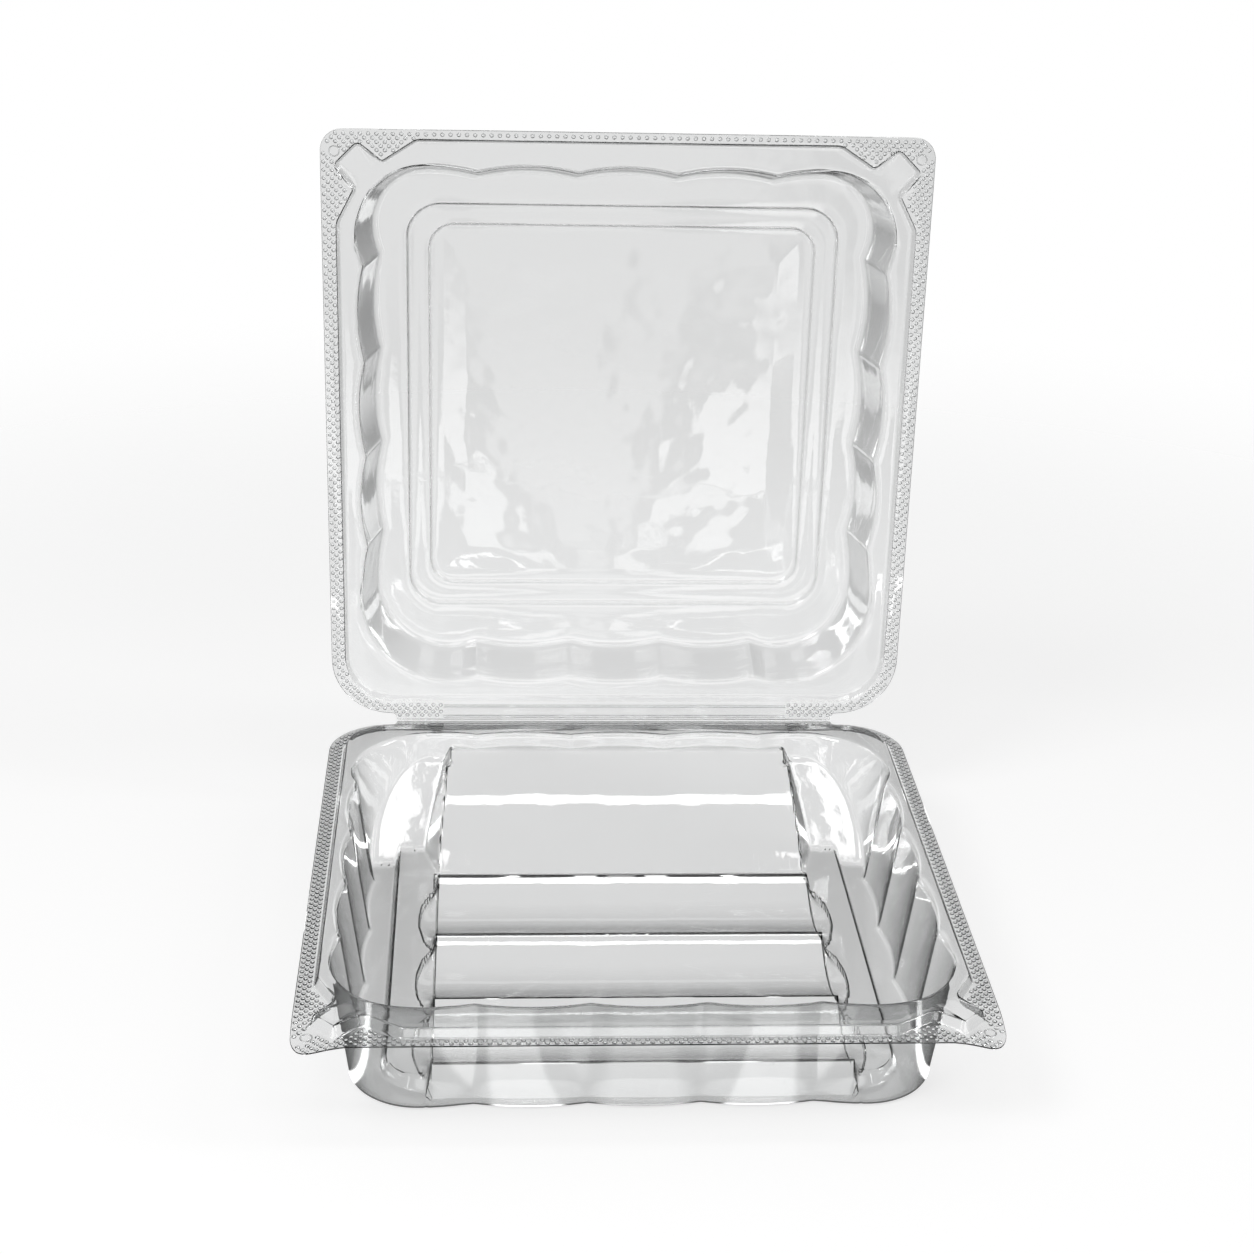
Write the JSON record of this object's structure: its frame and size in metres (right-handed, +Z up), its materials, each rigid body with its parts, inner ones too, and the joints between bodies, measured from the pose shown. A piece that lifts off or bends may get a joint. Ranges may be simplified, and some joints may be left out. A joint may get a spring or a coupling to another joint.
{
  "type": "plastic clamshell pack",
  "caption": "Clear square hinged pack standing open: fluted tray with a ridged floor, and a fluted lid with a stepped top that folds over it on a living hinge.",
  "frame": {"origin": "middle of the open pack's outline seen from above, on the surface that the tray stands on", "axes": "+X along the hinge to the viewer's right, +Y from the tray's front edge towards the hinge, +Z up; the lid stands straight up from the hinge at rest"},
  "size_m": [0.205, 0.244, 0.2506],
  "materials": {
    "clear_sheet": "clear, glossy, colourless sheet with an embossed flange"
  },
  "bodies": {
    "tray": {"base_tray": "clear_sheet"},
    "cover": {"lid": "clear_sheet"}
  },
  "joints": [
    {"name": "lid_hinge", "type": "hinge", "parent": "tray", "child": "cover", "pos_m": [0, 0.09242, 0.03615], "axis": [1, 0, 0], "range_deg": [-90, 90]}
  ]
}
